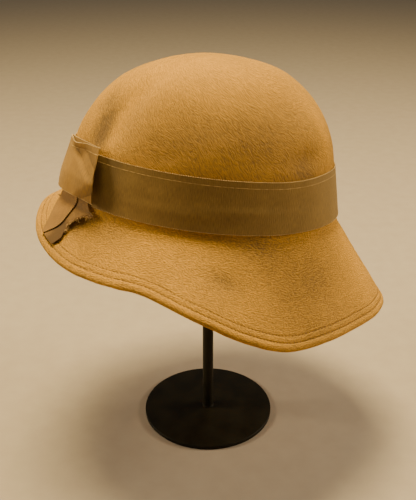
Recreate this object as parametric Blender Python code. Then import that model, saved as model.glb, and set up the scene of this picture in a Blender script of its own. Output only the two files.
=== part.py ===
"""Felt cloche hat with a grosgrain band and bow, resting on a plain round display stand.

The stand's disc rests on the plane Z = 0 with its centre at the origin. The front of the hat points
along +X, and its bow sits at the back, on the -Y side. Lengths are in metres and angles in degrees.
"""
import math

import bmesh
import bpy
import numpy as np
from mathutils import Euler, Matrix

# Felt body: the oval at the foot of the crown, the crown above it and the brim below it
CROWN_LENGTH = 0.206
CROWN_WIDTH = 0.171
CROWN_HEIGHT = 0.1075
BRIM_REACH = 0.090
ROOT_CURVE = 0.012
ROOT_FALL = 84
FELT = 0.0025
HEM_WIDTH = 0.0115
HEM_THICKNESS = 0.005
HEM_RAMP = 0.0015

# How much the crown narrows along the band, and again above it, as shares of its oval
WALL_LEAN = 0.045
CROWN_LEAN = 0.12

# Ribbon of the band, the bow's loop and its tails. The loop sits a little above the crown's foot and
# sinks towards its far end, its lower edge stands off, and its folded ends spring out from the band
RIBBON_WIDTH = 0.037
RIBBON = 0.001
LOOP_RISE = 0.006
LOOP_FLARE = 0.0012
LOOP_SINK = 0.004
LOOP_SPRING = 0.002
LOOP_PUFF = 0.0012
LOOP_BLUNT = 0.6
TAIL_LIFT = 0.004

# Stand
DISC_DIAMETER = 0.111
DISC_THICKNESS = 0.0035
DISC_BEVEL = 0.0006
POST_DIAMETER = 0.009
HEAD_RISE = 0.016

# Seat of the hat: the centre of the crown's foot above the table, and how the hat leans
SEAT_HEIGHT = 0.204
SEAT_SHIFT = -0.005
DIP_FORWARD = 7.0
LIFT_NEAR_SIDE = 5.5

# Space left between two pieces that touch, and the distance that joins the corners of one mesh
CLEARANCE = 0.0003
WELD = 0.00001

# Hat sections. azimuth: 0 front, 90 far side, 180 back, 270 near side. reach: brim length as a share
# of BRIM_REACH. root and rim: fall of the brim below level at its two ends. fullness: exponent of the
# crown's profile, where 2 is an ellipse
SECTION_COLUMNS = ("azimuth", "reach", "root", "rim", "fullness")
SECTIONS = [
    (0, 0.98, 52, 54, 2.40),
    (30, 0.92, 52, 54, 2.40),
    (60, 0.87, 50, 52, 2.30),
    (90, 0.70, 46, 48, 2.20),
    (120, 0.54, 42, 42, 2.10),
    (150, 0.42, 40, 38, 2.00),
    (180, 0.34, 38, 36, 1.90),
    (210, 0.46, 44, 46, 1.90),
    (225, 0.51, 50, 48, 1.95),
    (240, 0.52, 50, 46, 2.10),
    (255, 0.54, 44, 40, 2.20),
    (270, 0.68, 42, 40, 2.25),
    (285, 0.80, 50, 50, 2.30),
    (300, 0.87, 58, 58, 2.30),
    (315, 0.88, 58, 58, 2.35),
    (330, 0.88, 58, 58, 2.40),
    (345, 0.92, 55, 56, 2.40),
]

# Dents in the crown. height, depth and tall are shares of CROWN_HEIGHT, wide is in degrees. They fade
# out over the first degrees above the band and again at the top
DENT_COLUMNS = ("azimuth", "height", "depth", "wide", "tall")
DENTS = [
    (224, 0.62, 0.045, 9, 0.26),
    (240, 0.66, -0.012, 9, 0.24),
    (322, 0.48, 0.016, 12, 0.12),
]
DENT_FADE = 12

# Bow loop, from its lower selvedge at height 0 to its upper one at 1. near and far: azimuths of its
# folded ends. flare and puff: shares of LOOP_FLARE and LOOP_PUFF. over: share of the tails' stack
# that it clears
LOOP_COLUMNS = ("height", "near", "far", "flare", "puff", "over")
LOOP_ROWS = [
    (0.00, 226.0, 186, 1.00, 0.60, 1.0),
    (0.20, 227.5, 186, 0.80, 0.80, 1.0),
    (0.40, 228.0, 186, 0.50, 0.90, 0.9),
    (0.70, 228.0, 185, 0.20, 0.80, 0.3),
    (1.00, 227.5, 184, 0.00, 0.50, 0.0),
]

# Bow tails. run: from -1, one ribbon width up the wall, over 0 at the crown's foot, to 1 at the rim.
# left and right: azimuths of the two selvedges. lift_left and lift_right: shares of TAIL_LIFT
TAIL_COLUMNS = ("run", "left", "right", "lift_left", "lift_right")
UPPER_TAIL = [
    (-0.28, 190.0, 211.0, 0.00, 0.00),
    (0.00, 190.0, 213.0, 0.00, 0.15),
    (0.15, 190.5, 213.0, 0.00, 0.30),
    (0.30, 194.0, 212.5, 0.00, 0.35),
    (0.45, 198.5, 211.8, 0.00, 0.30),
    (0.60, 202.5, 210.6, 0.00, 0.20),
    (0.74, 204.9, 208.6, 0.00, 0.10),
    (0.84, 206.3, 207.3, 0.00, 0.00),
]
UNDER_TAIL = [
    (-0.28, 200.0, 218.0, 0.00, 0.00),
    (0.00, 201.0, 221.0, 0.00, 0.25),
    (0.10, 201.5, 225.0, 0.00, 0.90),
    (0.18, 202.0, 222.5, 0.00, 1.00),
    (0.30, 203.0, 218.0, 0.00, 0.75),
    (0.45, 204.0, 213.8, 0.00, 0.30),
    (0.60, 205.0, 213.0, 0.00, 0.10),
    (0.74, 205.6, 214.2, 0.00, 0.00),
    (0.84, 206.0, 214.8, 0.00, 0.00),
]

# Fineness of the meshes
AROUND = 64
DISC_SIDES = 64
POST_SIDES = 24
LOOP_STEPS = 28
TAIL_STEPS = 14
TAIL_ACROSS = 5

# Stations of the felt's sections: steps over the crown and shares of the brim inside its hem
CROWN_STEPS = 11
BRIM_SHARES = (0.06, 0.12, 0.20, 0.35, 0.55, 0.78, 1.0)
BRIM_SAMPLES = 40
HEM_TURNS = (45, 90, 135)


def clear_scene():
    """Remove everything that the scene holds."""
    for thing in list(bpy.data.objects):
        bpy.data.objects.remove(thing, do_unlink=True)


def column(rows, names, name):
    """One named column of a table."""
    return np.array([row[names.index(name)] for row in rows], float)


def around(name, azimuth):
    """Smooth closed curve through one column of the hat's sections."""
    places = column(SECTIONS, SECTION_COLUMNS, "azimuth")
    values = column(SECTIONS, SECTION_COLUMNS, name)
    places = np.concatenate([places[-2:] - 360, places, places[:3] + 360])
    values = np.concatenate([values[-2:], values, values[:3]])
    slopes = np.zeros(len(places))
    slopes[1:-1] = (values[2:] - values[:-2]) / (places[2:] - places[:-2])
    turn = np.mod(np.asarray(azimuth, float), 360)
    k = np.searchsorted(places, turn, side="right") - 1
    gap = places[k + 1] - places[k]
    s = (turn - places[k]) / gap
    ends = values[k] * (1 + 2 * s) * (1 - s) ** 2 + values[k + 1] * s**2 * (3 - 2 * s)
    return ends + gap * (slopes[k] * s * (1 - s) ** 2 - slopes[k + 1] * s**2 * (1 - s))


def smooth_step(share):
    """Ease from 0 to 1."""
    share = np.clip(share, 0, 1)
    return share * share * (3 - 2 * share)


def oval(azimuth, share):
    """Plan of the crown's foot, shrunk to a share of its size."""
    turn = np.radians(azimuth)
    return CROWN_LENGTH / 2 * np.cos(turn) * share, CROWN_WIDTH / 2 * np.sin(turn) * share


def outward(azimuth):
    """Level direction away from the oval."""
    turn = np.radians(azimuth)
    x = np.cos(turn) / CROWN_LENGTH
    y = np.sin(turn) / CROWN_WIDTH
    size = np.hypot(x, y)
    return x / size, y / size


def wall(azimuth, height, off=0.0):
    """Point on the straight wall under the band, or that far off it."""
    x, y = oval(azimuth, 1 - WALL_LEAN * height / RIBBON_WIDTH)
    out_x, out_y = outward(azimuth)
    return np.stack([x + out_x * off, y + out_y * off, height + 0 * x], -1)


def crown(azimuth, climb):
    """Point on the crown above the band: climb runs from 0 at the band to 90 at the top."""
    power = 2 / around("fullness", azimuth)
    turn = np.radians(climb)
    level = np.clip(np.cos(turn), 0, 1) ** power
    rise = np.sin(turn) ** power
    x, y = oval(azimuth, level * (1 - WALL_LEAN) * (1 - CROWN_LEAN * rise))
    z = RIBBON_WIDTH + (CROWN_HEIGHT - RIBBON_WIDTH) * rise
    out_x, out_y = outward(azimuth)
    for row in DENTS:
        dent = dict(zip(DENT_COLUMNS, row))
        aside = (np.mod(azimuth - dent["azimuth"] + 180, 360) - 180) / dent["wide"]
        above = (z / CROWN_HEIGHT - dent["height"]) / dent["tall"]
        push = dent["depth"] * CROWN_HEIGHT * np.exp(-(aside**2) - above**2)
        push = push * smooth_step(climb / DENT_FADE) * smooth_step(2 * level)
        x = x - out_x * push
        y = y - out_y * push
    return np.stack([x, y, z], -1)


def brim(azimuth, share):
    """Point on the brim: share runs from 0 at the crown's foot to 1 at the rim."""
    reach = BRIM_REACH * around("reach", azimuth)
    middles = (np.arange(BRIM_SAMPLES) + 0.5) / BRIM_SAMPLES
    length = share * reach
    run = middles * length[..., None]
    bend = smooth_step(run / ROOT_CURVE)
    root = around("root", azimuth)[..., None]
    rim = around("rim", azimuth)[..., None]
    open_fall = root + (rim - root) * run / reach[..., None]
    fall = np.radians(ROOT_FALL * (1 - bend) + open_fall * bend)
    out = np.cos(fall).mean(-1) * length
    down = np.sin(fall).mean(-1) * length
    x, y = oval(azimuth, 1)
    out_x, out_y = outward(azimuth)
    return np.stack([x + out_x * out, y + out_y * out, -down], -1)


def felt(azimuth, run):
    """Point on the felt's outer face. run: -2 top, -1 band's top, 0 crown's foot, 1 rim."""
    azimuth, run = np.broadcast_arrays(np.asarray(azimuth, float), np.asarray(run, float))
    over = crown(azimuth, np.clip(-run - 1, 0, 1) * 90)
    beside = wall(azimuth, np.clip(-run, 0, 1) * RIBBON_WIDTH)
    below = brim(azimuth, np.clip(run, 0, 1))
    high = (run < -1)[..., None]
    low = (run > 0)[..., None]
    return np.where(high, over, np.where(low, below, beside))


def felt_normal(azimuth, run):
    """Outward normal of the felt's outer face."""
    azimuth, run = np.broadcast_arrays(np.asarray(azimuth, float), np.asarray(run, float))
    run = np.clip(run, -1.995, 0.998)
    turn = felt(azimuth + 0.2, run) - felt(azimuth - 0.2, run)
    climb = felt(azimuth, run - 0.002) - felt(azimuth, run + 0.002)
    normal = np.cross(turn, climb)
    return normal / np.linalg.norm(normal, axis=-1, keepdims=True)


def lifted(azimuth, run, lift):
    """Point that stands off the felt's outer face."""
    top = (np.asarray(run) <= -1.999)[..., None]
    normal = np.where(top, (0.0, 0.0, 1.0), felt_normal(azimuth, run))
    return felt(azimuth, run) + normal * np.asarray(lift)[..., None]


def mapped_grid(across, along, place, capped=False):
    """Closed mesh from a grid of cells whose corners place(u, v) moves, with u and v from 0 to 1."""
    mesh = bmesh.new()
    bmesh.ops.create_grid(mesh, x_segments=across, y_segments=along, size=0.5)
    shares = np.array([corner.co[:2] for corner in mesh.verts]) + 0.5
    for corner, point in zip(mesh.verts, place(shares[:, 0], shares[:, 1])):
        corner.co = point
    bmesh.ops.remove_doubles(mesh, verts=mesh.verts, dist=WELD)
    if capped:
        close_ends(mesh)
    bmesh.ops.recalc_face_normals(mesh, faces=mesh.faces)
    return mesh


def close_ends(mesh):
    """Fill each open outline of a mesh with one flat face."""
    rim = [edge for edge in mesh.edges if edge.is_boundary]
    bmesh.ops.holes_fill(mesh, edges=rim)


def picked(stations, share):
    """Number of the station that a grid's share from 0 to 1 stands for."""
    return np.rint(share * (len(stations) - 1)).astype(int)


def finish(name, mesh, material, parent=None, sharp=40):
    """Make one smooth shaded object from a mesh."""
    data = bpy.data.meshes.new(name)
    mesh.to_mesh(data)
    mesh.free()
    data.shade_smooth()
    data.set_sharp_from_angle(angle=math.radians(sharp))
    data.materials.append(material)
    thing = bpy.data.objects.new(name, data)
    thing.parent = parent
    bpy.context.collection.objects.link(thing)
    return thing


def material(name, colour, roughness, metallic=0.0):
    """Plain Principled material."""
    made = bpy.data.materials.new(name)
    made.use_nodes = True
    shader = made.node_tree.nodes["Principled BSDF"]
    shader.inputs["Base Color"].default_value = (*colour, 1.0)
    shader.inputs["Roughness"].default_value = roughness
    shader.inputs["Metallic"].default_value = metallic
    made.diffuse_color = (*colour, 1.0)
    return made


def camel_felt():
    """Golden camel wool felt."""
    return material("camel_felt", (0.52, 0.30, 0.09), 0.9)


def olive_grosgrain():
    """Olive brown ribbed ribbon."""
    return material("olive_grosgrain", (0.21, 0.13, 0.035), 0.75)


def black_metal():
    """Matt black coated steel."""
    return material("black_metal", (0.012, 0.011, 0.010), 0.45, 0.3)


def black_foam():
    """Dark padding of the stand's head."""
    return material("black_foam", (0.03, 0.03, 0.03), 0.9)


def hat_seat():
    """Empty that carries the hat, leant as it rests on the stand."""
    seat = bpy.data.objects.new("hat_seat", None)
    seat.location = (SEAT_SHIFT, 0, SEAT_HEIGHT)
    seat.rotation_euler = lean()
    bpy.context.collection.objects.link(seat)
    return seat


def lean():
    """Turn of the hat on the stand."""
    return Euler((math.radians(-LIFT_NEAR_SIDE), math.radians(DIP_FORWARD), 0))


def outer_stations(azimuth):
    """Stations of the felt's section from the top to the rim, with its thickness at each."""
    reach = BRIM_REACH * around("reach", azimuth)
    inner = 1 - HEM_WIDTH / reach
    ramp = HEM_RAMP / reach
    edge = 1 - HEM_THICKNESS / 2 / reach
    climbs = -1 - np.linspace(1, 0, CROWN_STEPS + 1)
    stations = [(run + 0 * reach, FELT) for run in climbs]
    stations += [(-0.5 + 0 * reach, FELT), (0 * reach, FELT)]
    stations += [(share * inner, FELT) for share in BRIM_SHARES]
    stations += [(inner + ramp, HEM_THICKNESS), (edge, HEM_THICKNESS)]
    return stations


def felt_body(seat, cloth):
    """Crown and brim in one hollow wall, with the rim turned under as a thicker round hem."""
    count = len(outer_stations(np.array(0.0)))
    rows = 2 * count + len(HEM_TURNS)

    def place(u, v):
        azimuth = 360 * u
        stations = outer_stations(azimuth)
        row = np.rint(v * (rows - 1)).astype(int)
        points = np.zeros((len(u), 3))
        for k, (run, thick) in enumerate(stations):
            for lane, lift in ((k, 0.0), (rows - 1 - k, -thick)):
                here = row == lane
                points[here] = lifted(azimuth, run, lift + 0 * azimuth)[here]
        edge = stations[-1][0]
        normal = felt_normal(azimuth, edge)
        ahead = felt(azimuth, edge) - felt(azimuth, edge - 0.01)
        ahead = ahead / np.linalg.norm(ahead, axis=-1, keepdims=True)
        radius = HEM_THICKNESS / 2
        for k, turn in enumerate(HEM_TURNS):
            here = row == count + k
            bow = ahead * math.sin(math.radians(turn)) - normal * (1 - math.cos(math.radians(turn)))
            points[here] = (felt(azimuth, edge) + bow * radius)[here]
        return points

    return finish("felt_body", mapped_grid(AROUND, rows - 1, place), cloth, seat)


def ribbon_band(seat, ribbon):
    """Ribbon round the foot of the crown."""
    runs = (-0.02, -0.5, -1.0)
    section = [(run, CLEARANCE + RIBBON) for run in runs]
    section += [(run, CLEARANCE) for run in reversed(runs)]
    section += section[:1]
    table = np.array(section)

    def place(u, v):
        row = table[picked(section, v)]
        return lifted(360 * u, row[:, 0], row[:, 1])

    return finish("ribbon_band", mapped_grid(AROUND, len(section) - 1, place), ribbon, seat)


def ribbon_loop(seat, ribbon):
    """Flattened loop of ribbon that lies on the band over the start of the tails."""
    heights = np.linspace(0, 1, 6)
    section = [(height, 0.0) for height in heights]
    section += [(height, RIBBON) for height in reversed(heights)]
    section += section[:1]
    table = np.array(section)

    def at(name, height):
        return np.interp(height, column(LOOP_ROWS, LOOP_COLUMNS, "height"),
                         column(LOOP_ROWS, LOOP_COLUMNS, name))

    def place(u, v):
        height, inset = table[picked(section, v)].T
        turn = 2 * math.pi * u
        near = at("near", height)
        far = at("far", height)
        radius = (CROWN_LENGTH + CROWN_WIDTH) / 4
        tuck = np.degrees(inset / radius)
        azimuth = (near + far) / 2 + ((near - far) / 2 - tuck) * np.cos(turn)
        puff = RIBBON + LOOP_PUFF * at("puff", height)
        stack = 2 * CLEARANCE + RIBBON + 2 * (RIBBON + CLEARANCE) * at("over", height)
        bulge = np.sign(np.sin(turn)) * np.abs(np.sin(turn)) ** LOOP_BLUNT
        off = stack + LOOP_FLARE * at("flare", height) + puff + (puff - inset) * bulge
        off = off + LOOP_SPRING * at("flare", height) * np.cos(turn) ** 2
        sink = LOOP_SINK * ((near - azimuth) / (near - far)) ** 2
        return wall(azimuth, LOOP_RISE + RIBBON_WIDTH * height - sink, off)

    return finish("ribbon_loop", mapped_grid(LOOP_STEPS, len(section) - 1, place), ribbon, seat)


def selvedges(rows, run):
    """Azimuths of a tail's two selvedges at one run."""
    runs = column(rows, TAIL_COLUMNS, "run")
    left = np.interp(run, runs, column(rows, TAIL_COLUMNS, "left"))
    right = np.interp(run, runs, column(rows, TAIL_COLUMNS, "right"))
    return left, right


def tail_rise(rows, azimuth, run):
    """How far a tail bows up from what it lies on, between its two selvedges."""
    runs = column(rows, TAIL_COLUMNS, "run")
    left, right = selvedges(rows, run)
    side = np.clip((azimuth - left) / (right - left), 0, 1)
    low = np.interp(run, runs, column(rows, TAIL_COLUMNS, "lift_left"))
    high = np.interp(run, runs, column(rows, TAIL_COLUMNS, "lift_right"))
    return TAIL_LIFT * (low * (1 - side) + high * side)


def ribbon_tail(name, tails, seat, ribbon):
    """Loose ribbon end from under the loop down over the brim: the last of the tails lying so far."""
    rows = tails[-1]
    sides = np.linspace(0, 1, TAIL_ACROSS + 1)
    section = [(side, RIBBON) for side in sides]
    section += [(side, 0.0) for side in reversed(sides)]
    section += section[:1]
    table = np.array(section)
    start, end = rows[0][0], rows[-1][0]

    def place(u, v):
        side, height = table[picked(section, u)].T
        run = start + (end - start) * v
        left, right = selvedges(rows, run)
        azimuth = left + (right - left) * side
        lift = CLEARANCE + len(tails) * (RIBBON + CLEARANCE) + height
        lift = lift + sum(tail_rise(tail, azimuth, run) for tail in tails)
        return lifted(azimuth, run, lift)

    return finish(name, mapped_grid(len(section) - 1, TAIL_STEPS, place, capped=True), ribbon, seat)


def head_mesh():
    """Padded cap that fills the top of the crown's hollow, flat below, leant with the hat."""

    def place(u, v):
        run = -2 + v
        return lifted(360 * u, run, -(FELT + CLEARANCE) + 0 * u)

    mesh = mapped_grid(AROUND, CROWN_STEPS, place, capped=True)
    turn = lean().to_matrix().to_4x4()
    bmesh.ops.transform(mesh, matrix=Matrix.Translation((SEAT_SHIFT, 0, SEAT_HEIGHT)) @ turn,
                        verts=mesh.verts)
    return mesh


def stand_head(foam):
    """Hidden head of the stand, with the height of its flat underside."""
    mesh = head_mesh()
    underside = max(corner.co.z for corner in mesh.verts) - HEAD_RISE
    everything = mesh.verts[:] + mesh.edges[:] + mesh.faces[:]
    bmesh.ops.bisect_plane(mesh, geom=everything, dist=WELD, plane_co=(0, 0, underside),
                           plane_no=(0, 0, 1), clear_inner=True)
    bmesh.ops.remove_doubles(mesh, verts=mesh.verts, dist=10 * WELD)
    close_ends(mesh)
    bmesh.ops.recalc_face_normals(mesh, faces=mesh.faces)
    finish("stand_head", mesh, foam)
    return underside


def stand_base(metal):
    """Round disc with softened edges."""
    mesh = bmesh.new()
    bmesh.ops.create_cone(mesh, cap_ends=True, segments=DISC_SIDES, radius1=DISC_DIAMETER / 2,
                          radius2=DISC_DIAMETER / 2, depth=DISC_THICKNESS)
    bmesh.ops.translate(mesh, vec=(0, 0, DISC_THICKNESS / 2), verts=mesh.verts)
    edges = [edge for edge in mesh.edges if abs(edge.verts[0].co.z - edge.verts[1].co.z) < WELD]
    bmesh.ops.bevel(mesh, geom=edges, offset=DISC_BEVEL, segments=1, profile=0.5,
                    affect="EDGES", material=-1)
    return finish("stand_base", mesh, metal, sharp=25)


def stand_post(underside, metal):
    """Round post from the disc to the head."""
    bottom = DISC_THICKNESS + CLEARANCE
    length = underside - CLEARANCE - bottom
    mesh = bmesh.new()
    bmesh.ops.create_cone(mesh, cap_ends=True, segments=POST_SIDES, radius1=POST_DIAMETER / 2,
                          radius2=POST_DIAMETER / 2, depth=length)
    bmesh.ops.translate(mesh, vec=(0, 0, bottom + length / 2), verts=mesh.verts)
    return finish("stand_post", mesh, metal)


def build():
    """Make the whole hat and its stand."""
    clear_scene()
    seat = hat_seat()
    ribbon = olive_grosgrain()
    metal = black_metal()
    felt_body(seat, camel_felt())
    ribbon_band(seat, ribbon)
    ribbon_loop(seat, ribbon)
    ribbon_tail("ribbon_tail_under", [UNDER_TAIL], seat, ribbon)
    ribbon_tail("ribbon_tail_upper", [UNDER_TAIL, UPPER_TAIL], seat, ribbon)
    underside = stand_head(black_foam())
    stand_base(metal)
    stand_post(underside, metal)


build()
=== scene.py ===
"""Felt cloche hat with a grosgrain band and bow, dressed with nap, stitching and ribbon weave.

The stand's disc rests on the plane Z = 0 with its centre at the origin. The front of the hat points
along +X, and its bow sits at the back, on the -Y side. Lengths are in metres and angles in degrees.
"""
import math
import random

import bmesh
import bpy
import numpy as np
from mathutils import Euler, Matrix, Vector, noise


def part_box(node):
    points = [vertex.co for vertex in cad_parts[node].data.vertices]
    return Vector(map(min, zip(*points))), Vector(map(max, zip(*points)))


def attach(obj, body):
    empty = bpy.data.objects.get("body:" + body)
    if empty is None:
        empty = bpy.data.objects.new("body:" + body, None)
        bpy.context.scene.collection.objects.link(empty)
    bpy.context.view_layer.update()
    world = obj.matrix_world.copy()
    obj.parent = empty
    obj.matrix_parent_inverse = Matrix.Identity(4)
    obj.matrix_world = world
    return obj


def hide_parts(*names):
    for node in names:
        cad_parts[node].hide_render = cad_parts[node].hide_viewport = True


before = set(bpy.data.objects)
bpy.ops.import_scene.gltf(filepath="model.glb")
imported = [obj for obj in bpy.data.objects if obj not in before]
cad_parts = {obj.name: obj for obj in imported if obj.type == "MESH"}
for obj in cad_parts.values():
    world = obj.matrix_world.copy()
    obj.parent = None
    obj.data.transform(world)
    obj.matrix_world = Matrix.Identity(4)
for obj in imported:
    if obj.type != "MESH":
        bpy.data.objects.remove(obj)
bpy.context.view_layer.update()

# Felt body: the oval at the foot of the crown, the crown above it and the brim below it
CROWN_LENGTH = 0.206
CROWN_WIDTH = 0.171
CROWN_HEIGHT = 0.1075
BRIM_REACH = 0.090
ROOT_CURVE = 0.012
ROOT_FALL = 84
FELT = 0.0025
HEM_WIDTH = 0.0115
HEM_THICKNESS = 0.005
WALL_LEAN = 0.045
CROWN_LEAN = 0.12
FRONT_PUSH = 0.020
FRONT_DRAW = 0.022
FRONT_RAISE = 0.0020
TOP_NAP = (0.85, 0.25, -0.45)

# Ribbon of the band, the bow's loop and its tails
RIBBON_WIDTH = 0.037
CLOTH = 0.0006
LOOP_RISE = 0.006
LOOP_FLARE = 0.0012
LOOP_SINK = 0.004
LOOP_PUFF = 0.0012
LOOP_BLUNT = 0.6
LOOP_DROOP = 0.0021
LOOP_VALLEY = 0.0034
LOOP_CORNER = 0.0032
LOOP_BELLY = 0.0012
LOOP_LIP = 0.0022
TAIL_LIFT = 0.004
TAIL_REST = 0.0003
CLEARANCE = 0.0003

# Lengths that the ribbon weave is laid over: the band's mean radius, the loop's half and a tail
BAND_WEAVE = 0.094
LOOP_WEAVE = 0.068
TAIL_WEAVE = 0.058

# Stand
DISC_DIAMETER = 0.111
DISC_THICKNESS = 0.0035
DISC_BEVEL = 0.0006
POST_DIAMETER = 0.009

# Seat of the hat: the centre of the crown's foot above the table, and how the hat leans
SEAT_HEIGHT = 0.204
SEAT_SHIFT = -0.005
DIP_FORWARD = 7.0
LIFT_NEAR_SIDE = 5.5

# Camera, and the spot that the lamps point at
CAMERA_PLACE = (0, -0.548, 0.4305)
CAMERA_TILT = 63.5
CAMERA_LENS = 55.008
CAMERA_SENSOR = 36
LAMP_AIM = (0, 0, 0.22)

# Corners closer than this are joined. Dents fade out over this climb from the band
WELD = 0.00001
DENT_FADE = 12

# Hat sections. azimuth: 0 front, 90 far side, 180 back, 270 near side. reach: brim length as a
# share of BRIM_REACH. root and rim: fall of the brim below level at its two ends. fullness:
# exponent of the crown's profile, where 2 is an ellipse
SECTION_COLUMNS = ("azimuth", "reach", "root", "rim", "fullness")
SECTIONS = [
    (0, 0.97, 50, 52, 2.40),
    (30, 0.92, 51, 53, 2.40),
    (60, 0.87, 50, 52, 2.30),
    (90, 0.70, 46, 48, 2.20),
    (120, 0.54, 42, 42, 2.10),
    (150, 0.42, 40, 38, 2.00),
    (180, 0.34, 38, 36, 1.90),
    (210, 0.475, 44, 46, 1.90),
    (225, 0.53, 50, 48, 1.95),
    (240, 0.54, 50, 46, 2.10),
    (255, 0.56, 44, 40, 2.20),
    (270, 0.695, 42, 40, 2.25),
    (285, 0.815, 50, 50, 2.30),
    (300, 0.89, 58, 58, 2.30),
    (315, 0.88, 58, 58, 2.35),
    (330, 0.88, 57, 58, 2.40),
    (345, 0.92, 53, 54, 2.40),
]

# Dents in the crown. height, depth and tall are shares of CROWN_HEIGHT, wide is in degrees
DENT_COLUMNS = ("azimuth", "height", "depth", "wide", "tall")
DENTS = [
    (224, 0.62, 0.045, 9, 0.26),
    (242, 0.66, -0.008, 13, 0.26),
    (317, 0.45, 0.016, 12, 0.10),
]

# Soft swells and hollows of the blocked felt. run: -2 top, -1 band's top, 0 crown's foot, 1 rim.
# wide is in degrees and tall in runs. lift is in millimetres. tone: painted light and shade,
# darker in the dents, hollows and lower crown, just above and below the band and under the
# raised tail, lighter on the ridges, the top and the brim's sides, mixed with lighter and darker
# nap
SWELL_COLUMNS = ("azimuth", "run", "wide", "tall", "lift", "tone")
SWELLS = [
    (217, -1.08, 4.5, 0.10, -1.0, -0.80),
    (213, -1.20, 5.5, 0.11, -1.6, -1.00),
    (204, -1.32, 7, 0.09, -0.9, -0.60),
    (225, -1.11, 4, 0.10, 0.4, 0.35),
    (221.5, -1.24, 4.5, 0.14, 0.6, 0.50),
    (185, -1.45, 38, 0.20, 2.2, 0.10),
    (345, -1.70, 50, 0.18, 1.8, 0.10),
    (240, -1.70, 40, 0.22, 0.0, 0.35),
    (264, -1.20, 44, 0.21, -0.4, -0.50),
    (300, -1.28, 22, 0.20, 0.2, -0.30),
    (315, -1.05, 8, 0.08, -0.9, -0.55),
    (306, -1.02, 11, 0.025, 0.0, -0.25),
    (334, -1.20, 6, 0.25, 0.2, 0.35),
    (293, 0.10, 11, 0.13, -0.7, -0.45),
    (279, 0.48, 6, 0.11, -1.0, -0.70),
    (288, 0.60, 8, 0.16, 0.6, 0.20),
    (309, 0.45, 17, 0.28, -0.6, -0.55),
    (318, 0.82, 22, 0.14, 0.2, -0.25),
    (256, 0.35, 17, 0.35, 0.5, 0.35),
    (233, 0.25, 9, 0.22, -0.4, -0.45),
    (218, 0.45, 5, 0.12, 0.0, -0.50),
    (236, 0.85, 12, 0.15, 0.2, 0.15),
    (345, 0.40, 12, 0.50, 0.4, 0.60),
    (20, 0.50, 22, 0.40, -0.5, -0.20),
    (60, 0.45, 16, 0.30, 0.6, 0.15),
    (95, 0.55, 14, 0.30, -0.6, -0.25),
    (130, -1.30, 20, 0.25, 0.4, 0.20),
    (60, -1.25, 22, 0.22, -0.5, -0.25),
    (160, 0.50, 18, 0.40, 0.4, 0.10),
]

# Bow loop, from its lower selvedge at height 0 to its upper one at 1
# near and far: azimuths of its folded ends. flare and puff: shares of LOOP_FLARE and LOOP_PUFF.
# over: share of the tails' stack that it clears. spring: how far its near end stands off, in
# millimetres
LOOP_COLUMNS = ("height", "near", "far", "flare", "puff", "over", "spring")
LOOP_ROWS = [
    (0.00, 226.5, 189, 1.00, 0.60, 1.0, 3.4),
    (0.20, 226.5, 189, 0.80, 0.90, 1.0, 4.8),
    (0.38, 226.0, 189, 0.50, 1.00, 0.9, 5.4),
    (0.70, 224.5, 188, 0.20, 0.80, 0.3, 4.4),
    (1.00, 222.8, 187, 0.00, 0.50, 0.0, 1.6),
]

# Bow tails. left and right: azimuths of the two selvedges. lift_left and lift_right: shares of
# TAIL_LIFT
TAIL_COLUMNS = ("run", "left", "right", "lift_left", "lift_right")
UPPER_TAIL = [
    (-0.28, 190.0, 211.0, 0.00, 0.00),
    (0.00, 190.0, 213.0, 0.00, 0.05),
    (0.15, 190.5, 213.3, 0.00, 0.10),
    (0.30, 194.0, 213.0, 0.00, 0.12),
    (0.45, 198.5, 212.4, 0.00, 0.10),
    (0.60, 202.5, 211.0, 0.00, 0.06),
    (0.74, 204.9, 208.8, 0.00, 0.03),
    (0.84, 206.3, 207.3, 0.00, 0.00),
]
UNDER_TAIL = [
    (-0.28, 200.0, 218.0, 0.00, 0.00),
    (0.00, 201.0, 221.0, 0.00, 0.25),
    (0.10, 201.5, 224.5, 0.00, 0.90),
    (0.18, 202.0, 222.0, 0.00, 1.10),
    (0.30, 203.0, 218.3, 0.00, 0.80),
    (0.42, 204.0, 215.0, 0.00, 0.35),
    (0.52, 204.5, 215.5, 0.00, 0.10),
    (0.66, 205.2, 216.5, 0.00, 0.00),
    (0.84, 206.0, 214.8, 0.00, 0.00),
]

# Where the band stands off the wall. side: 0 at its foot, 1 at its upper edge. wide is in degrees
# and tall in sides. lift is in metres
BAND_COLUMNS = ("lift", "azimuth", "wide", "side", "tall")
BAND_PUFFS = [
    (0.0004, 262, 26, 0.30, 0.10),
    (0.0004, 285, 20, 0.42, 0.07),
    (0.0003, 238, 9, 0.60, 0.20),
]

# Hem stitching: how far its two rows lie from the rim, the thread, the grooves that it draws, and
# how high the pad between them and the full edge stand
STITCH_ROWS = (0.0060, 0.0108)
STITCH_PITCH = 0.0029
STITCH_LENGTH = 0.0019
STITCH_THICK = 0.0004
GROOVE_DEPTH = 0.00034
GROOVE_WIDTH = 0.00042
STITCH_RISE = 0.00016
HEM_PAD = 0.00022
HEM_EDGE = 0.00060

# Ribbon edges: picots along both selvedges, a pulled thread below the upper one, and loose threads
PICOT_PITCH = 0.00155
PICOT = 0.00050
PICOT_SHAPE = (1.55, 1.5, 2.0)
PULL_DROP = 0.0045
FRAYED_THREADS = 170
FRAYED_RADIUS = 0.00012

# Fineness of the meshes
FELT_AROUND = 384
BAND_AROUND = 420
BRIM_SAMPLES = 40
HEM_POINTS = 2881
BAND_POINTS = 4321
LOOP_POINTS = 1441
TAIL_POINTS = 900
BEADS_AT_ONCE = 24


def column(rows, names, name):
    """One named column of a table."""
    return np.array([row[names.index(name)] for row in rows], float)


def read_off(rows, names, name, place):
    """One column of a table at places between its rows, by its first column."""
    return np.interp(place, column(rows, names, names[0]), column(rows, names, name))


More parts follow.
